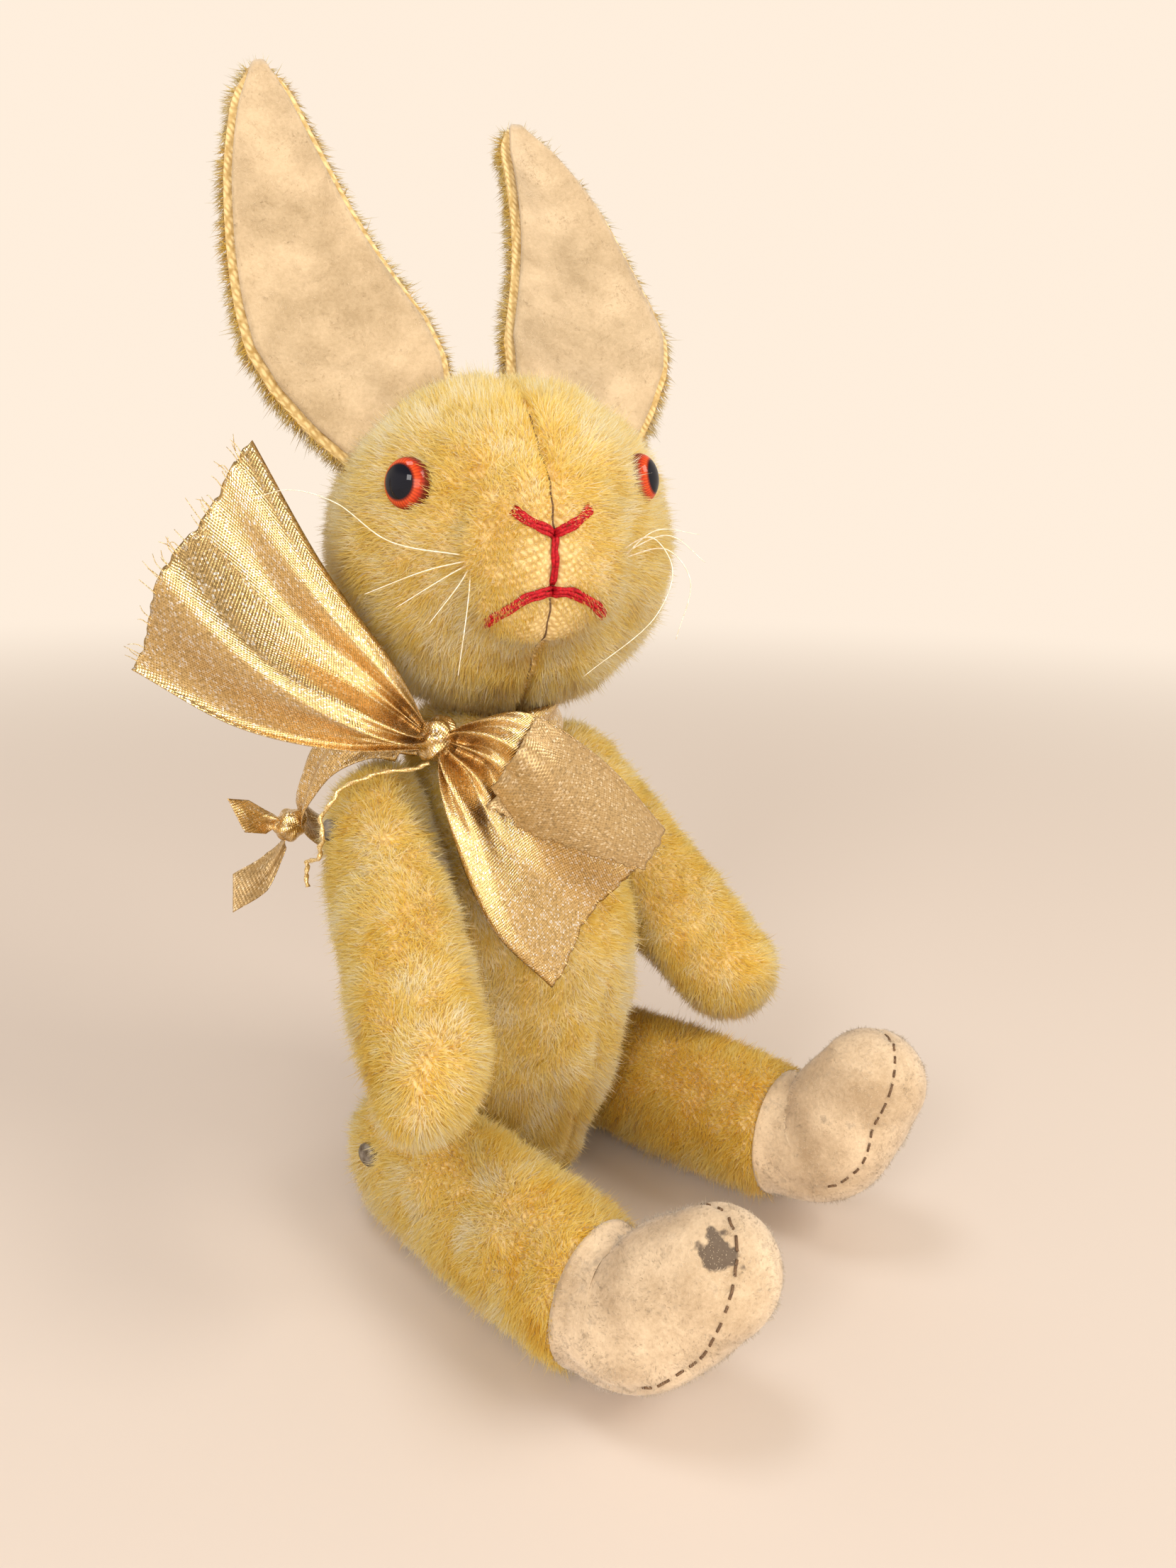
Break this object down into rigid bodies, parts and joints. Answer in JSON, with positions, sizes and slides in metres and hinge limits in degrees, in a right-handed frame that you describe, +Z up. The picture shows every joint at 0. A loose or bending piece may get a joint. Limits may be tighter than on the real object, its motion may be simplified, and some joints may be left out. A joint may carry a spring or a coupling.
{
  "type": "stuffed bunny rabbit",
  "caption": "Small jointed sitting plush rabbit with upright felt-lined ears, felt feet, glass eyes, embroidered nose and mouth, whiskers and a metallic ribbon bow at its neck.",
  "frame": {"origin": "middle of the flat under the rump, on the plane the rabbit sits on", "axes": "+Z up, +X towards the rabbit's left side, -Y the way the body and legs face"},
  "size_m": [0.0794, 0.1031, 0.1617],
  "materials": {
    "mohair": "matte pile",
    "felt": "matte napped",
    "stuffing": "loose fibre",
    "cardboard": "matte",
    "steel_wire": "dull",
    "eye_glass": "polished",
    "embroidery": "satin thread",
    "bristle": "satin",
    "lame_ribbon": "metallic weave",
    "gold_thread": "metallic twist"
  },
  "bodies": {
    "torso": {"torso_shell": "mohair", "torso_stuffing": "stuffing", "right_shoulder_disc": "cardboard", "right_hip_disc": "cardboard", "left_shoulder_disc": "cardboard", "left_hip_disc": "cardboard", "arm_rod": "steel_wire", "leg_rod": "steel_wire", "neck_body_disc": "cardboard", "neck_pin": "steel_wire", "bow_knot": "lame_ribbon", "right_bow_wing": "lame_ribbon", "left_bow_wing": "lame_ribbon", "neck_ribbon": "lame_ribbon", "back_knot": "lame_ribbon", "upper_tail": "lame_ribbon", "lower_tail": "lame_ribbon", "gold_thread": "gold_thread"},
    "right_arm": {"right_arm_disc": "cardboard", "right_arm_shell": "mohair", "right_arm_stuffing": "stuffing"},
    "left_arm": {"left_arm_disc": "cardboard", "left_arm_shell": "mohair", "left_arm_stuffing": "stuffing"},
    "right_leg": {"right_leg_disc": "cardboard", "right_leg_shell": "mohair", "right_foot_felt": "felt", "right_leg_stuffing": "stuffing"},
    "left_leg": {"left_leg_disc": "cardboard", "left_leg_shell": "mohair", "left_foot_felt": "felt", "left_leg_stuffing": "stuffing"},
    "head": {"head_shell": "mohair", "head_stuffing": "stuffing", "right_glass_eye": "eye_glass", "right_eye_wire": "steel_wire", "left_glass_eye": "eye_glass", "left_eye_wire": "steel_wire", "neck_head_disc": "cardboard", "right_ear_back": "mohair", "right_ear_lining": "felt", "left_ear_back": "mohair", "left_ear_lining": "felt", "nose_stitches": "embroidery", "mouth_stitches": "embroidery", "right_whiskers": "bristle", "left_whiskers": "bristle"}
  },
  "joints": [
    {"name": "right_arm_swing", "type": "hinge", "parent": "torso", "child": "right_arm", "pos_m": [-0.0204, 0.0041, 0.0593], "axis": [-1, 0, 0], "range_deg": [-30, 35], "deforming": ["gold_thread"]},
    {"name": "left_arm_swing", "type": "hinge", "parent": "torso", "child": "left_arm", "pos_m": [0.0204, 0.0041, 0.0593], "axis": [-1, 0, 0], "range_deg": [-6, 45]},
    {"name": "right_leg_swing", "type": "hinge", "parent": "torso", "child": "right_leg", "pos_m": [-0.02, -0.0006, 0.0128], "axis": [-1, 0, 0], "range_deg": [0, 38]},
    {"name": "left_leg_swing", "type": "hinge", "parent": "torso", "child": "left_leg", "pos_m": [0.02, -0.0006, 0.0128], "axis": [-1, 0, 0], "range_deg": [-3, 10]},
    {"name": "head_swivel", "type": "hinge", "parent": "torso", "child": "head", "pos_m": [0, 0.0053, 0.073], "axis": [0, 0, 1], "range_deg": [-4, 75]}
  ]
}
